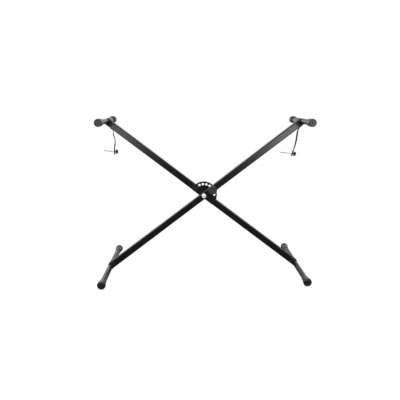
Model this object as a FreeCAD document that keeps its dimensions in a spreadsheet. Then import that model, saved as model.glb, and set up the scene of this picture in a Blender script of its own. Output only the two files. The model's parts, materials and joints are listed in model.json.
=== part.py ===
"""Folding keyboard stand: two square legs crossed on one bolt, locked by a spring pin.

Millimetres. X runs along the stand's width, Y from front to back, Z up. The origin
lies on the floor under the crossing bolt, midway between the two legs.

Each leg is drawn in a frame of its own: x runs along the leg from the crossing bolt
to the top bar, y points from the joint between the legs to the leg's outer side, and
z points to the leg's underside. The front leg is the rear leg turned half round.
"""
import FreeCAD
import Part
import Sketcher
import math
import os

doc = FreeCAD.newDocument("KeyboardStand")
sheet = doc.addObject("Spreadsheet::Sheet", "Sizes")

SIZES = [
    # the crossed legs
    ("arm_length", 470.0, "crossing bolt to the axis of each bar"),
    ("leg_angle", 37.5, "slope of both legs at rest, in degrees"),
    ("tube_side", 25.0, "square leg tube, outside"),
    ("tube_wall", 1.2, "its wall"),
    ("tube_corner", 3.0, "its outside corner radius"),
    ("joint_gap", 6.0, "space between the legs' facing sides"),
    # the round cross bars, their caps and boots
    ("bar_diameter", 20.0, "round bars, outside"),
    ("bar_wall", 1.5, "their wall"),
    ("bar_offset", 8.0, "middle of each bar, outwards from the joint"),
    ("top_bar_length", 334.0, "steel length of a top bar"),
    ("foot_bar_length", 439.0, "steel length of a foot bar"),
    ("cap_diameter", 28.0, "rubber sleeve on a top bar"),
    ("cap_length", 38.0, "whole length of that sleeve"),
    ("cap_end", 4.0, "its closed end"),
    ("cap_edge", 2.0, "rounding of its rim"),
    ("boot_diameter", 31.0, "rubber boot on a foot bar, at its ball"),
    ("boot_mouth_diameter", 23.6, "boot at its mouth"),
    ("boot_neck_diameter", 26.4, "boot where the flare steepens"),
    ("boot_length", 50.0, "whole length of the boot"),
    ("boot_end", 6.0, "its closed end"),
    ("boot_ball", 11.0, "length of the boot's thickest stretch"),
    ("boot_flare", 9.0, "length of the steep flare behind it"),
    ("boot_taper", 20.0, "length of the slow taper behind that"),
    ("boot_edge", 6.0, "rounding of the boot's end"),
    ("weld_leg", 2.6, "size of the weld beads"),
    # the locking plate
    ("plate_radius", 52.0, "half-moon plate"),
    ("plate_thick", 3.0, "its sheet"),
    ("plate_corner", 3.0, "rounding of its two points"),
    ("hole_margin", 10.5, "middle of the locking holes, inwards from the plate's rim"),
    ("hole_diameter", 9.2, "a locking hole"),
    ("hole_step", 19.2, "angle from hole to hole, in degrees"),
    ("holes_below", 2, "positions lower than the rest position"),
    ("hole_count", 8, "all locking holes"),
    ("plate_weld_arc", 24.0, "weld bead along the plate's rim, in degrees"),
    ("plate_weld_leg", 2.4, "size of that bead"),
    # the crossing bolt and what is on it
    ("bolt_diameter", 10.0, "shank"),
    ("bolt_head_diameter", 17.5, "button head"),
    ("bolt_head_height", 5.5, "its height"),
    ("bolt_head_rim", 1.0, "straight rim under the dome"),
    ("bolt_head_dome", 10.85, "radius of the dome's arc"),
    ("bolt_head_crown", 4.6, "radius of the flat on top of the dome"),
    ("socket_across", 6.0, "hexagon socket, across flats"),
    ("socket_depth", 3.2, "its depth"),
    ("sleeve_diameter", 14.0, "steel sleeves through the legs, outside"),
    ("spacer_diameter", 30.0, "nylon disc between plate and front leg"),
    ("washer_diameter", 20.0, "steel washer under the nut"),
    ("washer_thick", 2.0, "its thickness"),
    ("nut_across", 17.0, "hexagon nut, across flats"),
    ("nut_hex_height", 7.0, "its hexagon"),
    ("nut_collar_height", 3.4, "round collar that holds the nylon ring"),
    ("nut_collar_diameter", 15.0, "outside of that collar"),
    ("nut_ring_diameter", 12.6, "nylon ring, outside"),
    ("nut_ring_height", 2.6, "nylon ring, height"),
    ("bolt_overhang", 1.6, "thread that stands past the nut"),
    ("turn_clearance", 0.1, "side play of the front leg"),
    ("shaft_clearance", 0.05, "radial play of a turning or sliding shaft"),
    ("hole_clearance", 0.2, "radial play of a clamped bolt in its hole"),
    # the spring lock on the front leg
    ("barrel_diameter", 13.0, "body of the spring barrel"),
    ("barrel_flange_diameter", 18.0, "its flange on the leg's outer side"),
    ("barrel_flange", 2.5, "thickness of that flange"),
    ("barrel_guide", 6.0, "length of the close bore that guides the pin"),
    ("chamber_diameter", 10.6, "spring chamber"),
    ("plug_flange", 2.0, "rim of the plug that closes the chamber"),
    ("plug_flange_diameter", 15.0, "outside of that rim"),
    ("plug_depth", 3.0, "how far the plug reaches into the chamber"),
    ("pin_diameter", 8.5, "locking pin"),
    ("pin_rest_gap", 0.3, "pin's tip to the plate, drawn back at rest"),
    ("pin_travel", 3.0, "from there into the plate, until its collar seats"),
    ("pin_chamfer", 1.0, "lead on the pin's tip"),
    ("collar_diameter", 10.2, "pin's collar under the spring"),
    ("collar_thick", 2.0, "its thickness"),
    ("stem_diameter", 6.0, "pin's thin end, up to the knob"),
    ("spring_wire", 1.0, "spring wire"),
    ("spring_diameter", 8.4, "spring, to the middle of the wire"),
    ("spring_turns", 5, "its turns"),
    ("knob_gap", 0.5, "knob to plug when the pin is home"),
    ("knob_diameter", 34.0, "pull knob"),
    ("knob_height", 14.0, "its whole height"),
    ("knob_hub", 2.5, "height of the hub behind its disc"),
    ("knob_hub_diameter", 18.0, "that hub"),
    ("knob_edge", 2.5, "rounding of the knob's front edge"),
    ("knob_dish_diameter", 23.0, "dish in its face"),
    ("knob_dish", 1.2, "depth of the dish"),
    ("knob_flute_radius", 1.8, "scallops round its edge"),
    ("knob_flutes", 18, "number of scallops"),
    ("insert_diameter", 10.0, "brass insert in the knob"),
    ("insert_length", 9.5, "its length"),
    # the two straps
    ("strap_width", 6.0, "flat band"),
    ("strap_thick", 1.2, "its thickness"),
    ("strap_lap", 16.0, "band under its rivet, from its end to its bend"),
    ("rivet_setback", 11.5, "rivet to that bend"),
    ("strap_lead", 11.0, "band's straight run into the block"),
    ("tail_lead", 11.0, "tail's straight run out of the block"),
    ("left_strap_place", 43.0, "left band's bend, from the top bar's axis"),
    ("right_strap_place", 23.0, "right band's bend, from the top bar's axis"),
    ("rivet_diameter", 4.0, "rivet shank"),
    ("rivet_head_diameter", 8.0, "its dome"),
    ("rivet_head_height", 1.4, "height of the dome"),
    ("rivet_blind_diameter", 6.2, "its set end inside the tube"),
    ("rivet_blind_height", 2.2, "height of the set end"),
    ("buckle_height", 22.0, "clamp block along the band"),
    ("buckle_width", 12.0, "across the band"),
    ("buckle_thick", 3.6, "along the screw"),
    ("buckle_corner", 1.0, "its rounded edges"),
    ("slot_clearance", 0.3, "band to slot, at its edges"),
    ("strap_slot_depth", 3.0, "how far the band enters the block"),
    ("tail_slot_depth", 1.0, "how far the tail enters the block"),
    ("left_tail_drop", 0.6, "left tail's slot below the screw"),
    ("right_tail_drop", 3.5, "right tail's slot below the screw"),
    ("screw_diameter", 5.0, "thumb screw's thread"),
    ("screw_engaged", 2.0, "thread inside the block"),
    ("screw_knob_gap", 3.4, "knob to block"),
    ("screw_knob_diameter", 15.5, "thumb screw's knob"),
    ("screw_knob_height", 7.5, "its height"),
    ("screw_knob_edge", 1.2, "rounding of its outer edge"),
    ("screw_knob_flute_radius", 1.3, "scallops round its edge"),
    ("screw_knob_flutes", 10, "number of those scallops"),
    ("screw_knob_bore", 4.5, "how far the thread reaches into the knob"),
    ("left_buckle_tilt", 0.0, "lean of the left block, in degrees"),
    ("right_buckle_tilt", 16.0, "lean of the right block, in degrees"),
]

for row, (alias, amount, meaning) in enumerate(SIZES, start=1):
    sheet.set(f"A{row}", alias)
    sheet.set(f"B{row}", str(amount))
    sheet.setAlias(f"B{row}", alias)
    sheet.set(f"C{row}", meaning)
doc.recompute()


class Size:
    """A dimension that knows its formula on the sheet and its present value."""

    def __init__(self, formula, value):
        self.formula = formula
        self.value = value

    def joined(self, sign, other, value):
        return Size(f"({self.formula} {sign} {formula_of(other)})", value)

    def __add__(self, other):
        return self.joined("+", other, self.value + value_of(other))

    def __sub__(self, other):
        return self.joined("-", other, self.value - value_of(other))

    def __mul__(self, other):
        return self.joined("*", other, self.value * value_of(other))

    def __truediv__(self, other):
        return self.joined("/", other, self.value / value_of(other))

    def __neg__(self):
        return Size(f"(0 - {self.formula})", -self.value)

    def __radd__(self, other):
        return self + other

    def __rmul__(self, other):
        return self * other


def value_of(amount):
    return amount.value if isinstance(amount, Size) else float(amount)


def formula_of(amount):
    return amount.formula if isinstance(amount, Size) else f"({amount})"


def size(alias):
    return Size(f"Sizes.{alias}", float(sheet.get(alias)))


def sine(angle):
    return Size(f"sin({formula_of(angle)})", math.sin(math.radians(value_of(angle))))


def cosine(angle):
    return Size(f"cos({formula_of(angle)})", math.cos(math.radians(value_of(angle))))


# ---------------------------------------------------------------- worked-out places
arm = size("arm_length")
half_side = size("tube_side") / 2
inner_y = size("joint_gap") / 2
outer_y = inner_y + size("tube_side")
tube_y = inner_y + half_side
bar_r = size("bar_diameter") / 2
pivot_height = size("boot_diameter") / 2 + arm * sine(size("leg_angle"))
pin_centre = size("plate_radius") - size("hole_margin")
plug_y = outer_y + size("barrel_flange")
plug_face = plug_y + size("plug_flange")

PIVOT = f"vector(0; 0; {pivot_height.formula})"
REAR_LEG = f"placement({PIVOT}; rotation(vector(0; 1; 0); 180 + Sizes.leg_angle))"
FRONT_TURN = "vector(cos(Sizes.leg_angle / 2); 0; sin(Sizes.leg_angle / 2))"
FRONT_LEG = f"placement({PIVOT}; rotation({FRONT_TURN}; 180))"
TOP = 1
FOOT = -1
WHOLE_TURN = 360.0

parts = []


# ---------------------------------------------------------------- drawing helpers
def new_body(label, place):
    """A body for one piece, set in its leg's frame."""
    body = doc.addObject("PartDesign::Body", label)
    body.Label = label
    body.setExpression("Placement", place)
    parts.append(body)
    return body


def bind(feature, field, amount):
    """Tie one field of a feature to the sheet, or set a plain number."""
    if isinstance(amount, Size):
        feature.setExpression(field, amount.formula)
    else:
        setattr(feature, field, amount)


def sketch_on(body, plane, offset=(0, 0, 0)):
    """A sketch on one of the body's own planes, moved along the sketch's axes."""
    sketch = body.newObject("Sketcher::SketchObject", body.Label + "_sketch")
    support = [f for f in body.Origin.OriginFeatures if f.Role == plane][0]
    sketch.AttachmentSupport = [(support, "")]
    sketch.MapMode = "FlatFace"
    for axis, amount in zip("xyz", offset):
        if value_of(amount) != 0:
            sketch.setExpression(f".AttachmentOffset.Base.{axis}", formula_of(amount))
    return sketch


def hold(sketch, geometry, end, x, y):
    """Fix one sketch point at (x, y) from the sketch's origin."""
    for kind, axis, amount in (("DistanceX", -2, x), ("DistanceY", -1, y)):
        if value_of(amount) == 0:
            sketch.addConstraint(Sketcher.Constraint("PointOnObject", geometry, end, axis))
        else:
            rule = Sketcher.Constraint(kind, -1, 1, geometry, end, value_of(amount))
            index = sketch.addConstraint(rule)
            if isinstance(amount, Size):
                sketch.setExpression(f"Constraints[{index}]", amount.formula)


def circle(sketch, x, y, radius):
    centre = FreeCAD.Vector(value_of(x), value_of(y), 0)
    ring = Part.Circle(centre, FreeCAD.Vector(0, 0, 1), value_of(radius))
    geometry = sketch.addGeometry(ring)
    hold(sketch, geometry, 3, x, y)
    index = sketch.addConstraint(Sketcher.Constraint("Radius", geometry, value_of(radius)))
    sketch.setExpression(f"Constraints[{index}]", formula_of(radius))


def arc_between(start, end, radius):
    """An arc from start to end; a positive radius passes on the left of the straight line."""
    chord = end - start
    middle = (start + end) / 2
    left = FreeCAD.Vector(-chord.y, chord.x, 0).normalize()
    rise = math.sqrt(max(radius * radius - (chord.Length / 2) ** 2, 0))
    centre = middle - left * math.copysign(rise, radius)
    ring = Part.Circle(centre, FreeCAD.Vector(0, 0, 1), abs(radius))
    first, last = (end, start) if radius > 0 else (start, end)
    from_angle = math.atan2(first.y - centre.y, first.x - centre.x)
    to_angle = math.atan2(last.y - centre.y, last.x - centre.x)
    return Part.ArcOfCircle(ring, from_angle, to_angle)


def outline(sketch, corners):
    """A closed outline. A third number gives the radius of an arc that ends at the corner."""
    spots = [FreeCAD.Vector(value_of(c[0]), value_of(c[1]), 0) for c in corners]
    ends = []
    for index, corner in enumerate(corners):
        start, end = spots[index - 1], spots[index]
        if len(corner) == 3:
            geometry = sketch.addGeometry(arc_between(start, end, value_of(corner[2])))
            rule = Sketcher.Constraint("Radius", geometry, abs(value_of(corner[2])))
            bound = sketch.addConstraint(rule)
            sketch.setExpression(f"Constraints[{bound}]", f"abs({formula_of(corner[2])})")
            ends.append((geometry, 2, 1) if value_of(corner[2]) > 0 else (geometry, 1, 2))
        else:
            ends.append((sketch.addGeometry(Part.LineSegment(start, end)), 1, 2))
    for index, corner in enumerate(corners):
        geometry, _, finish = ends[index]
        following, begin, _ = ends[(index + 1) % len(corners)]
        sketch.addConstraint(Sketcher.Constraint("Coincident", geometry, finish, following, begin))
        hold(sketch, geometry, finish, corner[0], corner[1])


def rectangle(sketch, x0, y0, x1, y1):
    outline(sketch, [(x0, y0), (x1, y0), (x1, y1), (x0, y1)])


def hexagon(sketch, across):
    """A regular hexagon round the sketch's origin, by its width across flats."""
    corner = across / math.sqrt(3)
    flat = across / 2
    outline(sketch, [(corner, 0), (corner / 2, flat), (-corner / 2, flat), (-corner, 0),
                     (-corner / 2, -flat), (corner / 2, -flat)])


def add(body, kind, sketch, **fields):
    """A feature on a sketch, such as a pad, a pocket or a revolution."""
    feature = body.newObject(f"PartDesign::{kind}", f"{body.Label}_{kind.lower()}")
    feature.Profile = sketch
    for field, amount in fields.items():
        bind(feature, field, amount)
    doc.recompute()
    return feature


def slab(body, low_y, high_y, draw, kind="Pad"):
    """A flat piece between two y, drawn by its x and z; or a cut of that shape."""
    level = low_y if kind == "Pocket" else high_y
    sketch = sketch_on(body, "XZ_Plane", (0, 0, -level))
    draw(sketch)
    return add(body, kind, sketch, Length=high_y - low_y)


def turned(body, corners, x=0, y=0, kind="Revolution"):
    """A piece turned about an axis along y through (x, y); corners are (radius, y)."""
    sketch = sketch_on(body, "XY_Plane", (x, y, 0))
    outline(sketch, corners)
    return spin(body, sketch, "V_Axis", kind)


def spin(body, sketch, axis, kind="Revolution", angle=WHOLE_TURN, **flags):
    """A revolution about one of its sketch's own axes, or a groove cut that way."""
    feature = body.newObject(f"PartDesign::{kind}", f"{body.Label}_{kind.lower()}")
    feature.Profile = sketch
    feature.ReferenceAxis = (sketch, [axis])
    bind(feature, "Angle", angle)
    for flag, state in flags.items():
        setattr(feature, flag, state)
    doc.recompute()
    return feature


def ring_edges(feature, radius, y):
    """Names of the full circles of one radius at one y."""
    names = []
    for index, edge in enumerate(feature.Shape.Edges, start=1):
        if hasattr(edge.Curve, "Radius") and abs(edge.Curve.Radius - value_of(radius)) < 0.001:
            if abs(edge.CenterOfMass.y - value_of(y)) < 0.001:
                names.append(f"Edge{index}")
    return names


def straight_edges(feature, along, keep):
    """Names of the straight edges along one axis whose middle passes the test."""
    names = []
    for index, edge in enumerate(feature.Shape.Edges, start=1):
        if isinstance(edge.Curve, Part.Line):
            if abs(edge.tangentAt(edge.FirstParameter).dot(along)) > 0.999 and keep(edge.CenterOfMass):
                names.append(f"Edge{index}")
    return names


def round_over(body, feature, names, radius):
    """A fillet on the named edges."""
    fillet = body.newObject("PartDesign::Fillet", f"{body.Label}_fillet")
    fillet.Base = (feature, names)
    bind(fillet, "Radius", radius)
    doc.recompute()
    return fillet


def repeat_round(body, feature, axis_sketch, count, angle):
    """Copies of a cut, turned about the sketch's normal."""
    pattern = body.newObject("PartDesign::PolarPattern", f"{body.Label}_pattern")
    pattern.Originals = [feature]
    pattern.Axis = (axis_sketch, ["N_Axis"])
    bind(pattern, "Angle", angle)
    bind(pattern, "Occurrences", count)
    body.Tip = pattern
    doc.recompute()
    return pattern


# ---------------------------------------------------------------- legs and cross bars
ALONG_X = FreeCAD.Vector(1, 0, 0)
ALONG_Y = FreeCAD.Vector(0, 1, 0)
WELD_TOE = math.radians(30)


def leg_tube(label, place, strap_place):
    """A square tube with its ends coped half round the bars, and its cross holes."""
    body = new_body(label, place)
    section = sketch_on(body, "YZ_Plane")
    rectangle(section, inner_y, -half_side, outer_y, half_side)
    solid = add(body, "Pad", section, Length=arm * 2, Midplane=True)
    corners = straight_edges(solid, ALONG_X, lambda middle: True)
    solid = round_over(body, solid, corners, size("tube_corner"))
    wall = size("tube_wall")
    bore = sketch_on(body, "YZ_Plane")
    rectangle(bore, inner_y + wall, -half_side + wall, outer_y - wall, half_side - wall)
    hollow = add(body, "Pocket", bore, Length=arm * 3, Midplane=True)
    depth = half_side.value - wall.value
    inside = straight_edges(
        hollow, ALONG_X,
        lambda middle: abs(abs(middle.z) - depth) < 0.01 and abs(abs(middle.y - tube_y.value) - depth) < 0.01)
    round_over(body, hollow, inside, size("tube_corner") - wall)

    def copes(sketch):
        circle(sketch, arm, 0, bar_r)
        circle(sketch, -arm, 0, bar_r)

    def cross_hole(sketch):
        circle(sketch, 0, 0, size("sleeve_diameter") / 2)

    slab(body, inner_y, outer_y, copes, "Pocket")
    slab(body, inner_y, outer_y, cross_hole, "Pocket")
    if label == "front_leg_tube":
        slab(body, inner_y, outer_y,
             lambda sketch: circle(sketch, pin_centre, 0, size("barrel_diameter") / 2), "Pocket")
    drill = sketch_on(body, "XY_Plane", (0, 0, half_side))
    circle(drill, arm - strap_place + size("rivet_setback"), tube_y, size("rivet_diameter") / 2)
    add(body, "Pocket", drill, Length=size("tube_corner"))


def cross_bar(label, place, end, length):
    """A round tube across the end of a leg."""
    body = new_body(label, place)

    def rings(sketch):
        circle(sketch, arm * end, 0, bar_r)
        circle(sketch, arm * end, 0, bar_r - size("bar_wall"))

    middle = size("bar_offset")
    slab(body, middle - length / 2, middle + length / 2, rings)


def end_piece(label, place, end, side, length, corners, rounds):
    """A rubber piece turned on a bar's end; corners are (radius, distance past the steel)."""
    body = new_body(label, place)
    tip = size("bar_offset") + length / 2 * side
    turned(body, [(r, away * side) for r, away in corners], arm * end, tip)
    for radius, away, rounding in rounds:
        feature = body.Tip
        round_over(body, feature, ring_edges(feature, radius, tip + away * side), rounding)


def top_cap(label, place, side):
    """A plain sleeve with a closed, rounded end."""
    radius, end = size("cap_diameter") / 2, size("cap_end")
    mouth = end - size("cap_length")
    corners = [(0, 0), (bar_r, 0), (bar_r, mouth), (radius, mouth), (radius, end), (0, end)]
    end_piece(label, place, TOP, side, size("top_bar_length"), corners,
              [(radius, end, size("cap_edge"))])


def foot_boot(label, place, side):
    """A boot that flares slowly, then steeply, into the ball that stands on the floor."""
    ball, neck, mouth = (size(f"boot_{name}diameter") / 2 for name in ("", "neck_", "mouth_"))
    end = size("boot_end")
    ball_start = end - size("boot_ball")
    neck_start = ball_start - size("boot_flare")
    taper_start = neck_start - size("boot_taper")
    back = end - size("boot_length")
    corners = [(0, 0), (bar_r, 0), (bar_r, back), (mouth, back), (mouth, taper_start),
               (neck, neck_start), (ball, ball_start), (ball, end), (0, end)]
    end_piece(label, place, FOOT, side, size("foot_bar_length"), corners,
              [(neck, neck_start, size("boot_flare")), (ball, ball_start, size("boot_ball") / 2),
               (ball, end, size("boot_edge"))])


def end_weld(label, place, end):
    """One bead all round the joint of a leg's coped end and its bar."""
    body = new_body(label, place)
    bead = size("weld_leg")
    toe_x, toe_z = bar_r * math.sin(WELD_TOE), bar_r * math.cos(WELD_TOE)

    def wedge(side):
        def draw(sketch):
            outline(sketch, [(arm * end, bar_r * side, -bar_r * end * side), (arm * end, half_side * side),
                             (arm * end + toe_x * end, toe_z * side)])
        return draw

    def collar(level, outwards):
        return [(bar_r, level), (bar_r, level + bead * outwards), (bar_r + bead, level)]

    slab(body, inner_y - bead, outer_y + bead, wedge(1))
    for level, outwards in ((inner_y, -1), (outer_y, 1)):
        half_collar(body, end, collar(level, outwards))
    slab(body, inner_y - bead, outer_y + bead, wedge(-1))


def half_collar(body, end, corners):
    """A bead turned half round the bar on the leg's side."""
    sketch = sketch_on(body, "YZ_Plane", (0, 0, arm * end))
    outline(sketch, [(y, r) for r, y in corners])
    spin(body, sketch, "H_Axis", angle=WHOLE_TURN / 2, Reversed=end > 0)


for leg, place, top_side, foot_side, outwards in (
        ("rear_leg", REAR_LEG, "left", "right", "rear"),
        ("front_leg", FRONT_LEG, "right", "left", "front")):
    inwards = "front" if outwards == "rear" else "rear"
    leg_tube(f"{leg}_tube", place, size(f"{top_side}_strap_place"))
    cross_bar(f"{top_side}_top_bar", place, TOP, size("top_bar_length"))
    cross_bar(f"{foot_side}_foot_bar", place, FOOT, size("foot_bar_length"))
    for side, facing in ((1, outwards), (-1, inwards)):
        top_cap(f"{top_side}_top_cap_{facing}", place, side)
        foot_boot(f"{foot_side}_foot_boot_{facing}", place, side)
    end_weld(f"{top_side}_top_weld", place, TOP)
    end_weld(f"{foot_side}_foot_weld", place, FOOT)


# ---------------------------------------------------------------- locking plate
def locking_plate():
    """A half-moon of sheet on the rear leg's inner side, with a ring of locking holes."""
    body = new_body("locking_plate", REAR_LEG)
    face = inner_y - size("plate_thick")
    radius = size("plate_radius")
    slab(body, face, inner_y, lambda sketch: circle(sketch, 0, 0, radius))
    slab(body, face, inner_y,
         lambda sketch: rectangle(sketch, -radius * 2, half_side, radius * 2, radius * 2), "Pocket")
    feature = body.Tip
    points = straight_edges(feature, ALONG_Y, lambda middle: abs(middle.z - half_side.value) < 0.01)
    round_over(body, feature, points, size("plate_corner"))
    slab(body, face, inner_y,
         lambda sketch: circle(sketch, 0, 0, size("bolt_diameter") / 2 + size("hole_clearance")), "Pocket")
    lowest = size("leg_angle") * 2 - size("hole_step") * size("holes_below") - 180
    hole_sketch = sketch_on(body, "XZ_Plane", (0, 0, -face))
    circle(hole_sketch, pin_centre * cosine(lowest), pin_centre * sine(lowest), size("hole_diameter") / 2)
    hole = add(body, "Pocket", hole_sketch, Length=size("plate_thick"))
    steps = size("hole_count") - 1
    repeat_round(body, hole, hole_sketch, size("hole_count"), size("hole_step") * steps)


def plate_weld(label, end):
    """A bead along the plate's rim where it crosses the leg."""
    body = new_body(label, REAR_LEG)
    rim, bead = size("plate_radius"), size("plate_weld_leg")
    sketch = sketch_on(body, "XY_Plane")
    corners = [(rim, inner_y), (rim, inner_y - bead), (rim + bead, inner_y)]
    outline(sketch, [(r * end, y) for r, y in corners])
    spin(body, sketch, "V_Axis", angle=size("plate_weld_arc"), Midplane=True)


locking_plate()
plate_weld("plate_weld_upper", TOP)
plate_weld("plate_weld_lower", FOOT)


# ---------------------------------------------------------------- crossing bolt
bolt_r = size("bolt_diameter") / 2
head_y = -outer_y - size("turn_clearance")
washer_y = outer_y
nut_y = washer_y + size("washer_thick")
collar_y = nut_y + size("nut_hex_height")
nut_end = collar_y + size("nut_collar_height")
NUT_CHAMFER = math.tan(math.radians(30))


def annulus(label, place, low_y, high_y, outside, inside, x=0):
    """A plain ring such as a washer, a sleeve or a bush."""
    body = new_body(label, place)

    def rings(sketch):
        circle(sketch, x, 0, outside)
        circle(sketch, x, 0, inside)

    slab(body, low_y, high_y, rings)


def pivot_bolt():
    """A button-head bolt through both legs, its hexagon socket to the front."""
    body = new_body("pivot_bolt", REAR_LEG)
    head_r, crown = size("bolt_head_diameter") / 2, size("bolt_head_crown")
    rim_y = head_y - size("bolt_head_rim")
    top_y = head_y - size("bolt_head_height")
    end_y = nut_end + size("bolt_overhang")
    lead = size("bolt_overhang") / 2
    turned(body, [(0, top_y), (crown, top_y), (head_r, rim_y, size("bolt_head_dome")), (head_r, head_y),
                  (bolt_r, head_y), (bolt_r, end_y - lead), (bolt_r - lead, end_y), (0, end_y)])
    sketch = sketch_on(body, "XZ_Plane", (0, 0, -top_y))
    hexagon(sketch, size("socket_across"))
    add(body, "Pocket", sketch, Length=size("socket_depth"))


def pivot_nut():
    """A locking nut: hexagon, round collar, and the seat of its nylon ring."""
    body = new_body("pivot_nut", REAR_LEG)
    slab(body, nut_y, collar_y, lambda sketch: hexagon(sketch, size("nut_across")))
    collar_r = size("nut_collar_diameter") / 2
    slab(body, collar_y, nut_end, lambda sketch: circle(sketch, 0, 0, collar_r))
    corner = size("nut_across") / 2
    reach = size("nut_across") / 4
    rise = reach * NUT_CHAMFER
    turned(body, [(corner, nut_y), (corner + reach, nut_y), (corner + reach, nut_y + rise)], kind="Groove")
    turned(body, [(corner, collar_y), (corner + reach, collar_y), (corner + reach, collar_y - rise)],
           kind="Groove")
    slab(body, nut_y, nut_end, lambda sketch: circle(sketch, 0, 0, bolt_r), "Pocket")
    seat = nut_end - size("nut_ring_height")
    slab(body, seat, nut_end, lambda sketch: circle(sketch, 0, 0, size("nut_ring_diameter") / 2), "Pocket")
    annulus("pivot_nut_ring", REAR_LEG, seat, nut_end, size("nut_ring_diameter") / 2, bolt_r)


pivot_bolt()
pivot_nut()
bolt_hole = bolt_r + size("hole_clearance")
turning_bore = bolt_r + size("shaft_clearance")
annulus("pivot_washer", REAR_LEG, washer_y, nut_y, size("washer_diameter") / 2, bolt_hole)
annulus("rear_leg_sleeve", REAR_LEG, inner_y, outer_y, size("sleeve_diameter") / 2, bolt_hole)
annulus("pivot_spacer", REAR_LEG, -inner_y + size("turn_clearance"), inner_y - size("plate_thick"),
        size("spacer_diameter") / 2, bolt_hole)
annulus("front_leg_bush", FRONT_LEG, inner_y, outer_y, size("sleeve_diameter") / 2, turning_bore)


# ---------------------------------------------------------------- spring lock
guide_end = inner_y + size("barrel_guide")
chamber_r = size("chamber_diameter") / 2
stem_r = size("stem_diameter") / 2
spring_end = plug_y - size("plug_depth")
collar_seat = guide_end + size("pin_travel")
spring_seat = collar_seat + size("collar_thick")
tip_y = size("pin_rest_gap") - inner_y + size("plate_thick")
knob_back = plug_face + size("knob_gap") + size("pin_travel")
disc_back = knob_back + size("knob_hub")
knob_face = knob_back + size("knob_height")
FLUTE_OUT = 0.35  # share of a scallop's radius that its centre lies outside the knob


def lock_barrel():
    """A flanged barrel through the front leg: close bore inside, spring chamber outside."""
    body = new_body("lock_barrel", FRONT_LEG)
    outside, flange = size("barrel_diameter") / 2, size("barrel_flange_diameter") / 2
    guide = size("pin_diameter") / 2 + size("shaft_clearance")
    turned(body, [(guide, inner_y), (outside, inner_y), (outside, outer_y), (flange, outer_y),
                  (flange, plug_y), (chamber_r, plug_y), (chamber_r, guide_end), (guide, guide_end)],
           pin_centre)


def lock_barrel_plug():
    """The plug that closes the spring chamber round the pin's stem."""
    body = new_body("lock_barrel_plug", FRONT_LEG)
    bore, rim = stem_r + size("shaft_clearance"), size("plug_flange_diameter") / 2
    turned(body, [(bore, spring_end), (chamber_r, spring_end), (chamber_r, plug_y), (rim, plug_y),
                  (rim, plug_face), (bore, plug_face)], pin_centre)


def lock_pin():
    """The pin: chamfered tip, the collar the spring bears on, and the stem to the knob."""
    body = new_body("lock_pin", FRONT_LEG)
    radius, collar, lead = size("pin_diameter") / 2, size("collar_diameter") / 2, size("pin_chamfer")
    stem_end = knob_back + size("insert_length")
    turned(body, [(0, tip_y), (radius - lead, tip_y), (radius, tip_y + lead), (radius, collar_seat),
                  (collar, collar_seat), (collar, spring_seat), (stem_r, spring_seat),
                  (stem_r, stem_end), (0, stem_end)], pin_centre)


def lock_spring():
    """A coil spring round the stem, pressed between the collar and the plug."""
    body = new_body("lock_spring", FRONT_LEG)
    wire = size("spring_wire") / 2
    coil_r = size("spring_diameter") / 2
    start = spring_seat + wire
    sketch = sketch_on(body, "XY_Plane", (pin_centre, start, 0))
    circle(sketch, coil_r, 0, wire)
    feature = body.newObject("PartDesign::AdditiveHelix", "lock_spring_coil")
    feature.Profile = sketch
    feature.ReferenceAxis = (sketch, ["V_Axis"])
    feature.Mode = "height-turns-angle"
    bind(feature, "Height", spring_end - spring_seat - size("spring_wire"))
    bind(feature, "Turns", size("spring_turns"))
    doc.recompute()


def lock_knob():
    """A pull knob: hub, scalloped disc with a dished face, and a blind bore for its insert."""
    body = new_body("lock_knob", FRONT_LEG)
    radius, hub, bore = (size(name) / 2 for name in ("knob_diameter", "knob_hub_diameter", "insert_diameter"))
    insert_end = knob_back + size("insert_length")
    dish_r, dish_y = size("knob_dish_diameter") / 2, knob_face - size("knob_dish")
    turned(body, [(0, insert_end), (bore, insert_end), (bore, knob_back), (hub, knob_back),
                  (hub, disc_back), (radius, disc_back), (radius, knob_face), (dish_r, knob_face),
                  (dish_r - size("knob_dish"), dish_y), (0, dish_y)], pin_centre)
    rim = body.Tip
    edges = ring_edges(rim, radius, knob_face)
    round_over(body, rim, edges, size("knob_edge"))
    axis_sketch = sketch_on(body, "XZ_Plane", (pin_centre, 0, -disc_back))
    flute = size("knob_flute_radius")
    circle(axis_sketch, radius + flute * FLUTE_OUT, 0, flute)
    scallop = add(body, "Pocket", axis_sketch, Length=knob_face - disc_back)
    repeat_round(body, scallop, axis_sketch, size("knob_flutes"), WHOLE_TURN)


lock_barrel()
lock_barrel_plug()
lock_pin()
lock_spring()
lock_knob()
annulus("lock_knob_insert", FRONT_LEG, knob_back, knob_back + size("insert_length"),
        size("insert_diameter") / 2, stem_r, pin_centre)


# ---------------------------------------------------------------- straps, clamp blocks, thumb screws
band_level = half_side + size("strap_thick") / 2
RUN_SHARE = 0.45  # share of a straight run that each corner's arc takes


def rivet(label, place, strap_place):
    """A blind rivet through the band and the leg's underside: dome, shank and set end."""
    body = new_body(label, place)
    along = arm - strap_place + size("rivet_setback")
    sketch = sketch_on(body, "XZ_Plane", (along, 0, -tube_y))
    shank, head, blind = (size(f"rivet_{name}diameter") / 2 for name in ("", "head_", "blind_"))
    seat = half_side + size("strap_thick")
    height = size("rivet_head_height")
    inside = half_side - size("tube_wall")
    dome = (head * head / height + height) / 2
    outline(sketch, [(0, inside - size("rivet_blind_height")), (blind, inside - size("rivet_blind_height")),
                     (blind, inside), (shank, inside), (shank, seat), (head, seat),
                     (0, seat + height, -dome)])
    spin(body, sketch, "V_Axis")


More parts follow.
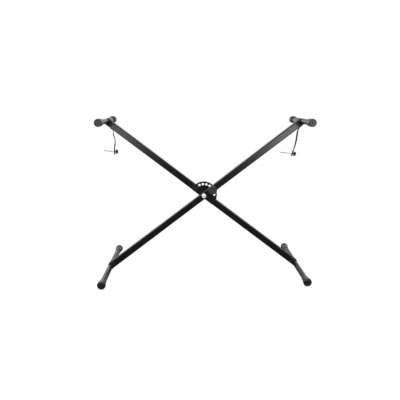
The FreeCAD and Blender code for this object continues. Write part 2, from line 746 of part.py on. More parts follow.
def clamp_block(label, place, drop):
    """The block that takes the band from above, its tail at the side and the thumb screw."""
    body = new_body(label, place)
    tall, wide, thick = (size(f"buckle_{name}") / 2 for name in ("height", "width", "thick"))
    block = slab(body, -wide, wide, lambda sketch: rectangle(sketch, -thick, -tall, thick, tall))
    corners = straight_edges(block, ALONG_Y, lambda middle: True)
    round_over(body, block, corners, size("buckle_corner"))
    band, half_band = size("strap_thick") / 2, size("strap_width") / 2 + size("slot_clearance")
    entry = tall - size("strap_slot_depth")
    slab(body, -half_band, half_band, lambda sketch: rectangle(sketch, -band, entry, band, tall), "Pocket")
    depth = size("tail_slot_depth")
    slab(body, -half_band, half_band,
         lambda sketch: rectangle(sketch, -thick, -drop - band, depth - thick, band - drop), "Pocket")
    bore = sketch_on(body, "YZ_Plane", (0, 0, thick))
    circle(bore, 0, 0, size("screw_diameter") / 2 + size("shaft_clearance"))
    add(body, "Pocket", bore, Length=size("screw_engaged"))


def thumb_screw(label, place):
    """A threaded stud and its scalloped knob, on an axis along x."""
    thick = size("buckle_thick") / 2
    back = thick + size("screw_knob_gap")
    face = back + size("screw_knob_height")
    screw, radius = size("screw_diameter") / 2, size("screw_knob_diameter") / 2
    depth = back + size("screw_knob_bore")
    stud = new_body(f"{label}_stud", place)
    sketch = sketch_on(stud, "YZ_Plane", (0, 0, thick - size("screw_engaged")))
    circle(sketch, 0, 0, screw)
    add(stud, "Pad", sketch, Length=depth - thick + size("screw_engaged"))
    knob = new_body(f"{label}_knob", place)
    sketch = sketch_on(knob, "XY_Plane")
    outline(sketch, [(back, screw), (back, radius), (face, radius), (face, 0), (depth, 0), (depth, screw)])
    disc = spin(knob, sketch, "H_Axis")
    edges = [f"Edge{index}" for index, edge in enumerate(disc.Shape.Edges, start=1)
             if hasattr(edge.Curve, "Radius") and abs(edge.Curve.Radius - radius.value) < 0.001]
    round_over(knob, disc, edges, size("screw_knob_edge"))
    sketch = sketch_on(knob, "YZ_Plane", (0, 0, face))
    flute = size("screw_knob_flute_radius")
    circle(sketch, radius + flute * FLUTE_OUT, 0, flute)
    scallop = add(knob, "Pocket", sketch, Length=face - back)
    repeat_round(knob, scallop, sketch, size("screw_knob_flutes"), WHOLE_TURN)


def stations(route):
    """Places and side directions along a route: its ends, and three on each corner's arc."""
    up = FreeCAD.Vector(0, 1, 0)
    steps = [(b - a) for a, b in zip(route, route[1:])]
    heads = [FreeCAD.Vector(step).normalize() for step in steps]
    found = [(route[0], up.cross(heads[0]))]
    radii = []
    for corner, (before, after) in enumerate(zip(steps, steps[1:]), start=1):
        turn = before.getAngle(after)
        reach = RUN_SHARE * min(before.Length, after.Length)
        radius = reach / math.tan(turn / 2)
        radii.append(radius)
        first, last = heads[corner - 1], heads[corner]
        inwards = (last - first).normalize()
        middle = route[corner] + inwards * (radius / math.cos(turn / 2) - radius)
        found.append((route[corner] - first * reach, up.cross(first)))
        found.append((middle, up.cross((first + last).normalize())))
        found.append((route[corner] + last * reach, up.cross(last)))
    found.append((route[-1], up.cross(heads[-1])))
    return found, radii


def side_edges(places):
    """Straight and arc edges through the places of one side of a band."""
    edges = []
    for index in range(0, len(places) - 1, 3):
        edges.append(Part.LineSegment(places[index], places[index + 1]).toShape())
        if index + 3 < len(places):
            edges.append(Part.Arc(*places[index + 1:index + 4]).toShape())
    return edges


def band(label, route, hole=None):
    """A flat band along a route of straight runs and tangent arcs in one upright plane."""
    found, radii = stations(route)
    half = value_of(size("strap_thick")) / 2
    width = value_of(size("strap_width"))
    left = [place + aside * half for place, aside in found]
    right = [place - aside * half for place, aside in found]
    ends = [Part.LineSegment(left[-1], right[-1]).toShape(), Part.LineSegment(right[0], left[0]).toShape()]
    wire = Part.Wire(Part.__sortEdges__(side_edges(left) + side_edges(right) + ends))
    face = Part.Face(wire)
    face.translate(FreeCAD.Vector(0, -width / 2, 0))
    solid = face.extrude(FreeCAD.Vector(0, width, 0))
    length = sum(edge.Length for edge in side_edges([place for place, _ in found]))
    print(f"{label}: {length:.1f} mm long, radii", " ".join(f"{radius:.0f}" for radius in radii),
          f"volume {solid.Volume:.1f}, section x length {2 * half * width * length:.1f}")
    if hole:
        solid = solid.cut(hole)
    feature = doc.addObject("Part::Feature", label)
    feature.Label = label
    feature.Shape = solid
    parts.append(feature)


def hung_strap(side, place, mirror, strap_place, hang, hanging, tail_hanging):
    """One strap: rivet, band, clamp block, thumb screw and tail, hung from a leg's underside.

    hang is the block's centre and hanging the band's free points, each as (x, z) from the
    band's bend. The band's lap, its straight entries and its ends follow the pieces.
    """
    along = arm - strap_place
    slope = size("leg_angle")
    bend_x = (along * cosine(slope) + band_level * sine(slope)) * mirror
    bend_z = pivot_height + along * sine(slope) - band_level * cosine(slope)
    across = tube_y * -mirror
    centre_x, centre_z = bend_x + hang[0], bend_z + hang[1]
    tilt, tail_drop = size(f"{side}_buckle_tilt"), size(f"{side}_tail_drop")
    block_place = (f"placement(vector({centre_x.formula}; {across.formula}; {centre_z.formula}); "
                   f"rotation(vector(0; 1; 0); {tilt.formula}))")
    rivet(f"{side}_strap_rivet", place, strap_place)
    clamp_block(f"{side}_strap_buckle", block_place, tail_drop)
    thumb_screw(f"{side}_thumb_screw", block_place)

    centre = FreeCAD.Vector(centre_x.value, across.value, centre_z.value)
    lean = FreeCAD.Rotation(FreeCAD.Vector(0, 1, 0), tilt.value)
    block_x, block_z = lean.multVec(FreeCAD.Vector(1, 0, 0)), lean.multVec(FreeCAD.Vector(0, 0, 1))
    bend = FreeCAD.Vector(bend_x.value, across.value, bend_z.value)
    uphill = FreeCAD.Vector(cosine(slope).value * mirror, 0, sine(slope).value)
    under = FreeCAD.Vector(sine(slope).value * mirror, 0, -cosine(slope).value)
    lap_end = bend + uphill * size("strap_lap").value
    band_end = centre + block_z * (size("buckle_height") / 2 - size("strap_slot_depth")).value
    free = [bend + FreeCAD.Vector(x, 0, z) for x, z in hanging]
    entry = band_end + block_z * size("strap_lead").value
    rivet_spot = bend + uphill * size("rivet_setback").value - under * size("strap_thick").value
    hole = Part.makeCylinder(size("rivet_diameter").value / 2, size("strap_thick").value * 2,
                             rivet_spot, under)
    band(f"{side}_strap", [lap_end, bend] + free + [entry, band_end], hole)

    tail_start = (centre - block_x * (size("buckle_thick") / 2 - size("tail_slot_depth")).value
                  - block_z * tail_drop.value)
    tail_lead = tail_start - block_x * size("tail_lead").value
    band(f"{side}_strap_tail", [tail_start, tail_lead] + [bend + FreeCAD.Vector(x, 0, z) for x, z in tail_hanging])


LEFT_BLOCK = (0.1, -81.3)
LEFT_HANGING = [(-2.6, -15.9), (2.6, -31.0), (4.2, -47.0)]
LEFT_TAIL = [(-21.4, -78.1), (-39.9, -77.9)]
RIGHT_BLOCK = (-21.8, -97.8)
RIGHT_HANGING = [(-5.6, -15.5), (-6.9, -32.0), (-9.2, -50.0), (-11.8, -66.0)]
RIGHT_TAIL = [(-46.2, -96.0), (-69.8, -93.8)]

hung_strap("left", REAR_LEG, -1, size("left_strap_place"), LEFT_BLOCK, LEFT_HANGING, LEFT_TAIL)
hung_strap("right", FRONT_LEG, 1, size("right_strap_place"), RIGHT_BLOCK, RIGHT_HANGING, RIGHT_TAIL)


# ---------------------------------------------------------------- check and write
doc.recompute()
for thing in doc.Objects:
    if "Invalid" in thing.State or "Error" in thing.State:
        raise RuntimeError(f"{thing.Label} didn't build: {thing.State}")
os.makedirs("parts", exist_ok=True)
for part in parts:
    if part.Shape.isNull() or not part.Shape.isValid():
        raise RuntimeError(f"{part.Label} has no sound shape")
    part.Shape.exportStep(f"parts/{part.Label}.step")
    print(f"{part.Label}: {len(part.Shape.Solids)} solid, {part.Shape.Volume:.0f} mm3")
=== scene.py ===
# %% [markdown]
# # A folding keyboard stand
#
# The object is a stand of black steel tube: two square legs crossed on one bolt, round bars across
# their ends, rubber sleeves and boots, a half-moon plate with a ring of holes, a pull knob, and a
# thin band that hangs under each leg. The engineering model gives every rigid shape and its place.
# This notebook dresses it: the bands first, then the small things that a solid model leaves out,
# then the finishes, and last the studio.

# %% Load the frame
import bpy
import bmesh
import json
import math
from mathutils import Matrix, Vector


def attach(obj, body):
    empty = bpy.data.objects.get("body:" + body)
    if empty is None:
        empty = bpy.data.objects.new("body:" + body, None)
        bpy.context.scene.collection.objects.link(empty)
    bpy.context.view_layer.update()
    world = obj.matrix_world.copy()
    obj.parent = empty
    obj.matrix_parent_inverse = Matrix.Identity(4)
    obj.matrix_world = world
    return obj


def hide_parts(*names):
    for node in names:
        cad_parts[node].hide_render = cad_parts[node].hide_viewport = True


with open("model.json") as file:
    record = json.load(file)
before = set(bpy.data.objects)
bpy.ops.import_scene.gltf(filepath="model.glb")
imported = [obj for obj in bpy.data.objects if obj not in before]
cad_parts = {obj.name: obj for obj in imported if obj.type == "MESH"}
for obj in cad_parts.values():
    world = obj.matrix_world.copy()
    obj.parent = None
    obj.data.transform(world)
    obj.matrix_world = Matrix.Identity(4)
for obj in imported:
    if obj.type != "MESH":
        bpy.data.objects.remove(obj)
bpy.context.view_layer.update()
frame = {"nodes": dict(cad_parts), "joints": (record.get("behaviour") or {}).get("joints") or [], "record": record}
nodes = frame["nodes"]
joints = {joint["name"]: joint for joint in frame["joints"]}
pivot = Vector(joints["fold"]["pos_m"])
MM = 0.001

# %% [markdown]
# ## The camera
#
# The picture was taken from a little above the crossing, almost square on. A camera was worked out
# from the ends of the bars and the legs' edges, so it is written as a place relative to the crossing
# bolt, a turn, a tilt and a focal length in pixels of the 400-pixel frame. A lens is given in
# millimetres, which is the focal length times the sensor's width over the frame's width.

# %% Camera
FRAME_PIXELS = 400
focal_pixels = 471.0
camera_place = pivot + Vector((-0.0501, -1.8229, 0.3570))
camera_turn = -0.0193
camera_tilt = -0.2050

camera_data = bpy.data.cameras.new("camera")
camera_data.sensor_width = 36.0
camera_data.lens = focal_pixels / FRAME_PIXELS * camera_data.sensor_width
camera = bpy.data.objects.new("camera", camera_data)
camera.location = camera_place
camera.rotation_euler = (math.pi / 2 + camera_tilt, 0, camera_turn)
bpy.context.scene.collection.objects.link(camera)
bpy.context.scene.camera = camera
bpy.context.scene.view_settings.view_transform = "Standard"
print("lens", round(camera_data.lens, 2), "mm")

# %% [markdown]
# ## Places on the legs
#
# Each leg has a frame of its own in the engineering model: x runs from the crossing bolt up the leg,
# y points from the joint between the legs to the leg's outer side, and z to its underside. Welds,
# rivets and bands are easiest to write in that frame, so here are its two matrices. The front leg is
# the rear leg turned half round about a line halfway between the two slopes.

# %% The legs' own frames
leg_slope = math.radians(37.5)
arm_length = 470.0 * MM
half_leg = 12.5 * MM
leg_inner, leg_outer, leg_middle = 3.0 * MM, 28.0 * MM, 15.5 * MM
bar_radius = 10.0 * MM
half_slope = Vector((math.cos(leg_slope / 2), 0, math.sin(leg_slope / 2)))
leg_place = {
    "rear_leg": Matrix.Translation(pivot) @ Matrix.Rotation(math.pi + leg_slope, 4, "Y"),
    "front_leg": Matrix.Translation(pivot) @ Matrix.Rotation(math.pi, 4, half_slope),
}
TOP, FOOT = 1, -1
for leg, place in leg_place.items():
    print(leg, "top bar at", tuple(round(v, 4) for v in place @ Vector((arm_length, leg_middle, 0))))

# %% [markdown]
# ## The bands
#
# Under each leg hangs a flat band, six millimetres wide and little more than one thick. It leaves a
# rivet on the leg's underside, hangs down into a small clamp block, and its tail leaves the block at
# the side. A band like this is one smooth curve, so each line is a spline whose control points are
# the points of its route. The spline is only the guide: a section with a rounded, slightly raised
# edge is carried along it, ring by ring, which lets the band twist on its way, as a loose one does.

# %% Routes of the bands, from each band's bend under the leg
BAND_THICK = 1.2 * MM
lap_length, entry_run, tail_run = 16.0 * MM, 11.0 * MM, 11.0 * MM
block_lean = {"left": 0.0, "right": math.radians(16)}
tail_drop = {"left": 0.6 * MM, "right": 3.5 * MM}
band_place = {"left": 43.0 * MM, "right": 23.0 * MM}
block_offset = {"left": (0.1, -81.3), "right": (-21.8, -97.8)}
hanging = {
    "left": [(-2.6, -15.9), (2.6, -31.0), (4.2, -47.0)],
    "right": [(-5.6, -15.5), (-6.9, -32.0), (-9.2, -50.0), (-11.8, -66.0)],
}
tail_hanging = {
    "left": [(-21.4, -78.1), (-39.9, -77.9)],
    "right": [(-46.2, -96.0), (-69.8, -93.8)],
}
leg_of_side = {"left": "rear_leg", "right": "front_leg"}


def routes(side):
    """The control points of a band and of its tail, and the block's centre and lean."""
    place = leg_place[leg_of_side[side]]
    bend = place @ Vector((arm_length - band_place[side], leg_middle, half_leg + BAND_THICK / 2))
    uphill = place.to_3x3() @ Vector((1, 0, 0))
    lean = Matrix.Rotation(block_lean[side], 3, "Y")
    block_x, block_z = lean @ Vector((1, 0, 0)), lean @ Vector((0, 0, 1))
    offset = Vector((block_offset[side][0], 0, block_offset[side][1])) * MM
    centre = bend + offset
    band_end = centre + block_z * 8.0 * MM
    free = [bend + Vector((x, 0, z)) * MM for x, z in hanging[side]]
    band = [bend + uphill * lap_length, bend] + free + [band_end + block_z * entry_run, band_end]
    tail_start = centre - block_x * 0.8 * MM - block_z * tail_drop[side]
    free_tail = [bend + Vector((x, 0, z)) * MM for x, z in tail_hanging[side]]
    tail = [tail_start, tail_start - block_x * tail_run] + free_tail
    return band, tail, centre, lean


for side in ("left", "right"):
    print(side, "block at", tuple(round(v, 4) for v in routes(side)[2]))


# %% A smooth line through a route
def smooth_line(points):
    """Close points along the NURBS spline that has those control points."""
    curve = bpy.data.curves.new("line", "CURVE")
    curve.dimensions = "3D"
    curve.resolution_u = 16
    spline = curve.splines.new("NURBS")
    spline.points.add(len(points) - 1)
    for point, place in zip(spline.points, points):
        point.co = (*place, 1)
    spline.order_u = 3
    spline.use_endpoint_u = True
    line = bpy.data.objects.new("line", curve)
    spots = [vertex.co.copy() for vertex in bpy.data.meshes.new_from_object(line).vertices]
    bpy.data.objects.remove(line)
    return spots


def line_length(spots):
    return sum((b - a).length for a, b in zip(spots, spots[1:]))


print("left band", round(line_length(smooth_line(routes("left")[0])), 4), "m long")


# %% Rings of points joined into a closed skin
def skin(name, rings, closed_ends=True):
    """A mesh through rings of equally many points, its ends closed, its faces outwards."""
    shape = bmesh.new()
    loops = [[shape.verts.new(spot) for spot in ring] for ring in rings]
    for before, after in zip(loops, loops[1:]):
        for index in range(len(before)):
            following = (index + 1) % len(before)
            shape.faces.new((before[index], before[following], after[following], after[index]))
    if closed_ends:
        shape.faces.new(loops[0])
        shape.faces.new(loops[-1])
    bmesh.ops.remove_doubles(shape, verts=shape.verts, dist=1e-7)
    bmesh.ops.dissolve_degenerate(shape, edges=shape.edges, dist=1e-7)
    bmesh.ops.recalc_face_normals(shape, faces=shape.faces)
    mesh = bpy.data.meshes.new(name)
    shape.to_mesh(mesh)
    shape.free()
    mesh.shade_smooth()
    mesh.set_sharp_from_angle(angle=math.radians(40))
    piece = bpy.data.objects.new(name, mesh)
    bpy.context.scene.collection.objects.link(piece)
    return piece


# %% The band's section and its twist
band_section = [(3.0, 0.0), (2.92, 0.3), (2.7, 0.5), (2.35, 0.6), (2.0, 0.52), (1.75, 0.4), (0.9, 0.38)]
upper = band_section[1:] + [(-w, t) for w, t in reversed(band_section)]
band_outline = [band_section[0]] + upper + [(w, -t) for w, t in reversed(upper[:-1])]
band_twist = {"left": [0, 6, 28, 14, 20, 44, 24], "right": [0, -10, -66, -68, -58, -40, -30, -12]}
TAIL_TWIST = -5


def flat_band(name, points, twists):
    """A flat band along the smooth line of a route, its width turned from Y by the twists."""
    spots = smooth_line(points)
    rings = []
    for index, spot in enumerate(spots):
        ahead = (spots[min(index + 1, len(spots) - 1)] - spots[max(index - 1, 0)]).normalized()
        run = index / (len(spots) - 1) * (len(twists) - 1)
        low = min(int(run), len(twists) - 2)
        twist = twists[low] + (twists[low + 1] - twists[low]) * (run - low)
        across = Matrix.Rotation(math.radians(twist), 3, ahead) @ Vector((0, 1, 0))
        through = ahead.cross(across)
        rings.append([spot + (across * w + through * t) * MM for w, t in band_outline])
    return skin(name, rings), spots


bands = {}
for side in ("left", "right"):
    band_points, tail_points, _, _ = routes(side)
    band, band_line = flat_band(f"{side}_band", band_points, band_twist[side])
    tail, tail_line = flat_band(f"{side}_band_tail", tail_points, [0, TAIL_TWIST, TAIL_TWIST])
    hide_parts(f"{side}_strap")
    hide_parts(f"{side}_strap_tail")
    line_length(tail_line)
    bands[side] = (band, tail, band_line)
    for piece in (band, tail):
        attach(piece, leg_of_side[side])
    print(side, "band", round(line_length(band_line), 4), "tail", round(line_length(tail_line), 4))

# %% [markdown]
# ## A short way to write node trees
#
# Node trees are hard to read as long lists of links. A small class wraps a socket so that ordinary
# arithmetic adds Math nodes, and one method adds any other node with its settings and its inputs.
# The same two classes serve materials and Geometry Nodes.


# %% Sockets that know arithmetic
class Wire:
    """A node's output, on which ordinary arithmetic adds Math nodes."""

    def __init__(self, tree, socket):
        self.tree = tree
        self.socket = socket

    def maths(self, operation, *others):
        return self.tree.node("ShaderNodeMath", {"operation": operation}, [self, *others])

    def __add__(self, other):
        return self.maths("ADD", other)

    def __radd__(self, other):
        return self.maths("ADD", other)

    def __sub__(self, other):
        return self.maths("SUBTRACT", other)

    def __rsub__(self, other):
        return self.tree.node("ShaderNodeMath", {"operation": "SUBTRACT"}, [other, self])

    def __mul__(self, other):
        return self.maths("MULTIPLY", other)

    def __rmul__(self, other):
        return self.maths("MULTIPLY", other)

    def __abs__(self):
        return self.maths("ABSOLUTE")

    def above(self, level, soft):
        """Nought below the level, one above it, with a soft step between."""
        inputs = {"Value": self, "From Min": level - soft, "From Max": level + soft}
        return self.tree.node("ShaderNodeMapRange", {"interpolation_type": "SMOOTHSTEP"}, inputs)


class Tree:
    """A node tree under construction."""

    def __init__(self, tree):
        self.tree = tree

    def node(self, kind, settings, inputs, output=0):
        """A node of any type: its settings first, then the values or links of its sockets."""
        node = self.tree.nodes.new(kind)
        for name, value in settings.items():
            setattr(node, name, value)
        pairs = enumerate(inputs) if isinstance(inputs, (list, tuple)) else inputs.items()
        for key, value in pairs:
            self.join(value, node.inputs[key])
        return Wire(self, node.outputs[output])

    def join(self, value, socket):
        if isinstance(value, Wire):
            self.tree.links.new(value.socket, socket)
        else:
            socket.default_value = value


class Paint(Tree):
    """A material under construction, with the nodes that most finishes need."""

    def __init__(self, name):
        self.material = bpy.data.materials.new(name)
        self.material.use_nodes = True
        super().__init__(self.material.node_tree)
        self.shader = self.tree.nodes["Principled BSDF"]
        self.place = self.node("ShaderNodeTexCoord", {}, {}, output="Object")

    def noise(self, scale, detail=2.0, roughness=0.5, place=None):
        """Even noise about 0.5, at so many grains a metre."""
        inputs = {"Vector": place or self.place, "Scale": scale, "Detail": detail}
        inputs["Roughness"] = roughness
        return self.node("ShaderNodeTexNoise", {}, inputs, output="Fac")

    def along(self, direction, start=pivot):
        """Millimetres along a direction from a starting point."""
        moved = self.node("ShaderNodeVectorMath", {"operation": "SUBTRACT"}, [self.place, tuple(start)])
        inputs = [moved, tuple(Vector(direction) / MM)]
        return self.node("ShaderNodeVectorMath", {"operation": "DOT_PRODUCT"}, inputs, output="Value")

    def mixed(self, factor, first, second):
        """A colour between two colours."""
        inputs = {0: factor, 6: first, 7: second}
        return self.node("ShaderNodeMix", {"data_type": "RGBA"}, inputs, output=2)

    def bump(self, height, depth, strength=1.0):
        """Raised detail: height from 0 to 1 over that depth in metres."""
        inputs = {"Height": height, "Distance": depth, "Strength": strength}
        self.join(self.node("ShaderNodeBump", {}, inputs), self.shader.inputs["Normal"])

    def finish(self, **sockets):
        """Set the shader's own sockets by name, with spaces written as underscores."""
        for name, value in sockets.items():
            self.join(value, self.shader.inputs[name.replace("_", " ")])
        return self.material


def grey(level, warm=0.0):
    """A grey a little to the warm or the cool side."""
    return (level * (1 + warm), level, level * (1 - warm), 1)


print("a Wire adds Math nodes; a Paint holds one material")

# %% [markdown]
# ## Powder-coated steel
#
# The legs, bars and plate are baked with black powder. From close by such a coat has a fine
# orange-peel skin and a satin gloss, and it isn't quite even: broad soft patches are a little duller,
# and a few specks of dust are baked in. A square tube is rolled from strip, so a low seam runs along
# its underside, its four corners are rubbed a little paler where the stand is carried, and the coat is
# duller near the welds at its ends. All three are written as distances in the leg's own frame, so they
# follow the tube wherever it lies.


# %% Powder coat
def powder_coat(name, leg=None, rough=0.18):
    paint = Paint(name)
    patches = paint.noise(9.0, detail=3.0)
    specks = paint.noise(700.0, detail=2.0).above(0.70, 0.05) * patches
    peel = paint.noise(1400.0, detail=1.0) * 0.6 + paint.noise(300.0, detail=1.0) * 0.4
    rubbed = specks * 0.4
    relief = peel
    gloss = patches * 0.12 + rough
    if leg:
        turn = leg_place[leg].to_3x3()
        side = paint.along(turn @ Vector((0, 1, 0))) - leg_middle / MM
        under = paint.along(turn @ Vector((0, 0, 1)))
        corner = abs(side).above(11.4, 0.5) * abs(under).above(11.4, 0.5)
        rubbed = rubbed + corner * paint.noise(55.0, detail=4.0).above(0.58, 0.10) * 0.35
        seam = (1 - abs(side - 3.0).above(0.5, 0.3)) * under.above(11.0, 0.5)
        relief = peel + seam * 2.0
        from_bolt = abs(paint.along(turn @ Vector((1, 0, 0))))
        gloss = gloss + from_bolt.above(448.0, 9.0) * 0.4
    paint.bump(relief, 0.00005, strength=0.6)
    colour = paint.mixed(rubbed, grey(0.0045, -0.05), grey(0.06))
    return paint.finish(Base_Color=colour, Roughness=gloss, Specular_IOR_Level=0.45)


coat = powder_coat("powder_coat", rough=0.26)
weld_coat = powder_coat("powder_coat_weld", rough=0.40)
leg_coats = {leg: powder_coat(f"powder_coat_{leg}", leg) for leg in leg_place}
print("powder coat on a leg has", len(leg_coats["rear_leg"].node_tree.nodes), "nodes")

# %% [markdown]
# ## The plate's wear
#
# The pin is let go a little before or after its hole each time, so its tip scrapes an arc on the
# plate, and the rim of each hole loses its paint. The plate is drawn in polar coordinates about the
# bolt: the radius gives the arc, and the angle folded at every step gives the distance to the nearest
# of the eight holes. Scrapes are noise in the same polar coordinates, so they run round the bolt. Bare
# steel is a second colour that turns metallic.


# %% Plate finish
def plate_coat():
    paint = Paint("powder_coat_plate")
    turn = leg_place["rear_leg"].to_3x3()
    along = paint.along(turn @ Vector((1, 0, 0)))
    across = paint.along(turn @ Vector((0, 0, 1)))
    radius = (along * along + across * across).maths("SQRT")
    angle = across.maths("ARCTAN2", along)
    step = math.radians(19.2)
    lowest = 2 * leg_slope - 2 * step - math.pi
    started = angle - lowest + step / 2 + 4 * math.pi
    folded = started.maths("MODULO", step) - step / 2
    drilled = 1 - started.maths("MODULO", 2 * math.pi).above(8 * step, 0.02)
    ring = 41.5
    sideways, outwards = folded * ring, radius - ring
    to_hole = (sideways * sideways + outwards * outwards).maths("SQRT")
    polar = paint.node("ShaderNodeCombineXYZ", {}, [radius * 1.6, angle * 3.0])
    scrapes = paint.noise(1.0, detail=3.0, place=polar).above(0.58, 0.06)
    rims = (1 - to_hole.above(5.0, 0.25)) * paint.noise(420.0, detail=3.0).above(0.48, 0.08) * drilled
    arc = (1 - abs(outwards).above(3.0, 0.9)) * scrapes * drilled * 0.35
    edge = radius.above(51.5, 0.4) * paint.noise(160.0, detail=3.0).above(0.58, 0.06) * 0.5
    bare = rims.maths("MAXIMUM", arc).maths("MAXIMUM", edge)
    peel = paint.noise(1400.0, detail=1.0)
    paint.bump(peel - bare * 0.8, 0.00005, strength=0.6)
    colour = paint.mixed(bare, grey(0.0045, -0.05), grey(0.22))
    return paint.finish(Base_Color=colour, Metallic=bare * 0.9, Roughness=peel * 0.1 + 0.24,
                        Specular_IOR_Level=0.35)


print("plate finish has", len(plate_coat().node_tree.nodes), "nodes")

# %% [markdown]
# ## Rubber, plastics and metals
#
# Moulded rubber is matt, with a fine texture from its mould and paler scuffs, and a thin line where
# the two halves of the mould met. The knobs and clamp blocks are hard plastic with a finer grain and a
# little more gloss. The bolt, washers and barrel are zinc-plated, bright with a slight haze, and the
# turned insert is brass. The pivot bolt gets a near-white, mostly diffuse copy of the zinc instead: its
# pale colour is a painted reflection of the white room around it.


# %% Rubber
def rubber():
    paint = Paint("moulded_rubber")
    scuffs = paint.noise(60.0, detail=4.0, roughness=0.6).above(0.60, 0.10)
    on_floor = 1 - paint.along((0, 0, 1), (0, 0, 0)).above(2.0, 1.5)
    grain = paint.noise(2600.0, detail=2.0)
    bar_middle = arm_length * math.cos(leg_slope) / MM
    sideways = abs(abs(paint.along((1, 0, 0))) - bar_middle)
    parting = 1 - sideways.above(0.25, 0.12)
    paint.bump(grain + parting * 3.0, 0.00005, strength=0.7)
    worn = scuffs * 0.25 + on_floor * scuffs * 0.5
    colour = paint.mixed(worn, grey(0.0070), grey(0.05, 0.04))
    return paint.finish(Base_Color=colour, Roughness=grain * 0.08 + 0.31, Specular_IOR_Level=0.55)


# %% Hard plastic
def hard_plastic(name, dark, light):
    paint = Paint(name)
    grain = paint.noise(3200.0, detail=2.0)
    flow = paint.noise(45.0, detail=2.0)
    paint.bump(grain, 0.00003, strength=0.6)
    colour = paint.mixed(flow, dark, light)
    return paint.finish(Base_Color=colour, Roughness=flow * 0.12 + 0.36, Specular_IOR_Level=0.3)


# %% Zinc plate, spring steel and brass
def metal(name, dark, light, rough, metallic=1.0):
    paint = Paint(name)
    haze = paint.noise(160.0, detail=3.0)
    scratches = paint.noise(2200.0, detail=2.0)
    paint.bump(scratches, 0.00001, strength=0.4)
    colour = paint.mixed(haze, dark, light)
    return paint.finish(Base_Color=colour, Metallic=metallic, Roughness=haze * 0.14 + rough)


# %% Black nylon and the band
def nylon():
    paint = Paint("black_nylon")
    cloud = paint.noise(120.0, detail=2.0)
    colour = paint.mixed(cloud, grey(0.014), grey(0.024))
    paint.bump(cloud, 0.00002, strength=0.5)
    return paint.finish(Base_Color=colour, Roughness=cloud * 0.1 + 0.4)


def band_plastic():
    paint = Paint("band_plastic")
    streaks = paint.noise(900.0, detail=2.0)
    paint.bump(streaks, 0.00002, strength=0.4)
    colour = paint.mixed(streaks, grey(0.004), grey(0.007))
    return paint.finish(Base_Color=colour, Roughness=streaks * 0.1 + 0.55, Specular_IOR_Level=0.15)


finishes = {
    "powder_coat": coat,
    "rubber": rubber(),
    "dark_plastic": hard_plastic("hard_plastic", grey(0.005), grey(0.009)),
    "zinc": metal("zinc_plate", grey(0.62, -0.02), grey(0.82, -0.01), 0.22),
    "spring_steel": metal("spring_steel", grey(0.22), grey(0.40), 0.28),
    "brass": metal("brass", (0.55, 0.40, 0.16, 1), (0.72, 0.56, 0.26, 1), 0.22),
    "nylon": nylon(),
    "strap_plastic": band_plastic(),
}
own_finish = {
    "rear_leg_tube": leg_coats["rear_leg"],
    "front_leg_tube": leg_coats["front_leg"],
    "locking_plate": plate_coat(),
    # The pivot bolt's near-white, barely metallic zinc is a painted reflection: the colour stands in for the white
    # it would mirror.
    "pivot_bolt": metal("bright_bolt", grey(0.88), grey(0.95), 0.28, metallic=0.25),
    "lock_knob": hard_plastic("knob_plastic", grey(0.030, -0.10), grey(0.040, -0.10)),
}

# %% Put the finishes on
for subpart in frame["record"]["subparts"]:
    shape = nodes[subpart["node"]].data
    shape.materials.clear()
    shape.materials.append(own_finish.get(subpart["node"], finishes[subpart["material_slot"]]))
for side in ("left", "right"):
    for piece in bands[side][:2]:
        piece.data.materials.append(finishes["strap_plastic"])

# %% [markdown]
# ## Geometry Nodes recipes
#
# Weld ripples and threads are the same small shape again and again along a path, which is what
# Geometry Nodes are for. A recipe is a tree with named inputs; running it on a guide mesh gives the
# finished shape, which is kept as a plain mesh because other programs can't read the recipe.


# %% A Geometry Nodes tree, and a way to run it
class Recipe(Tree):
    """A Geometry Nodes tree: a guide and named sizes in, one finished mesh out."""

    def __init__(self, name, **sizes):
        super().__init__(bpy.data.node_groups.new(name, "GeometryNodeTree"))
        face = self.tree.interface
        face.new_socket("Shape", in_out="OUTPUT", socket_type="NodeSocketGeometry")
        face.new_socket("Guide", in_out="INPUT", socket_type="NodeSocketGeometry")
        for title, value in sizes.items():
            kind = "NodeSocketInt" if isinstance(value, int) else "NodeSocketFloat"
            face.new_socket(title, in_out="INPUT", socket_type=kind).default_value = value
        self.source = self.tree.nodes.new("NodeGroupInput")
        self.result = self.tree.nodes.new("NodeGroupOutput")

    def given(self, title):
        return Wire(self, self.source.outputs[title])

    def deliver(self, shape, material):
        """Real faces, smooth, with the material on: the end of every recipe."""
        whole = self.node("GeometryNodeRealizeInstances", {}, [shape])
        smooth = self.node("GeometryNodeSetShadeSmooth", {}, {"Geometry": whole})
        painted = self.node("GeometryNodeSetMaterial", {}, {"Geometry": smooth, "Material": material})
        self.join(painted, self.result.inputs["Shape"])


def grow(name, recipe, guide, place=Matrix.Identity(4), **sizes):
    """Run a recipe on a guide mesh and keep its result as a plain mesh."""
    host = bpy.data.objects.new(name + "_guide", guide)
    bpy.context.scene.collection.objects.link(host)
    modifier = host.modifiers.new("recipe", "NODES")
    modifier.node_group = recipe.tree
    for item in recipe.tree.interface.items_tree:
        if item.in_out == "INPUT" and item.name in sizes:
            modifier[item.identifier] = sizes[item.name]
    graph = bpy.context.evaluated_depsgraph_get()
    mesh = bpy.data.meshes.new_from_object(host.evaluated_get(graph), depsgraph=graph)
    host.modifiers.remove(modifier)
    bpy.data.objects.remove(host)
    mesh.transform(place)
    piece = bpy.data.objects.new(name, mesh)
    bpy.context.scene.collection.objects.link(piece)
    return piece


def guide_of(name, paths):
    """A mesh of open or closed runs of edges; each path is (points, closed)."""
    spots, edges = [], []
    for points, closed in paths:
        first = len(spots)
        spots += points
        edges += [(first + i, first + i + 1) for i in range(len(points) - 1)]
        if closed:
            edges.append((len(spots) - 1, first))
    mesh = bpy.data.meshes.new(name)
    mesh.from_pydata(spots, edges, [])
    return mesh


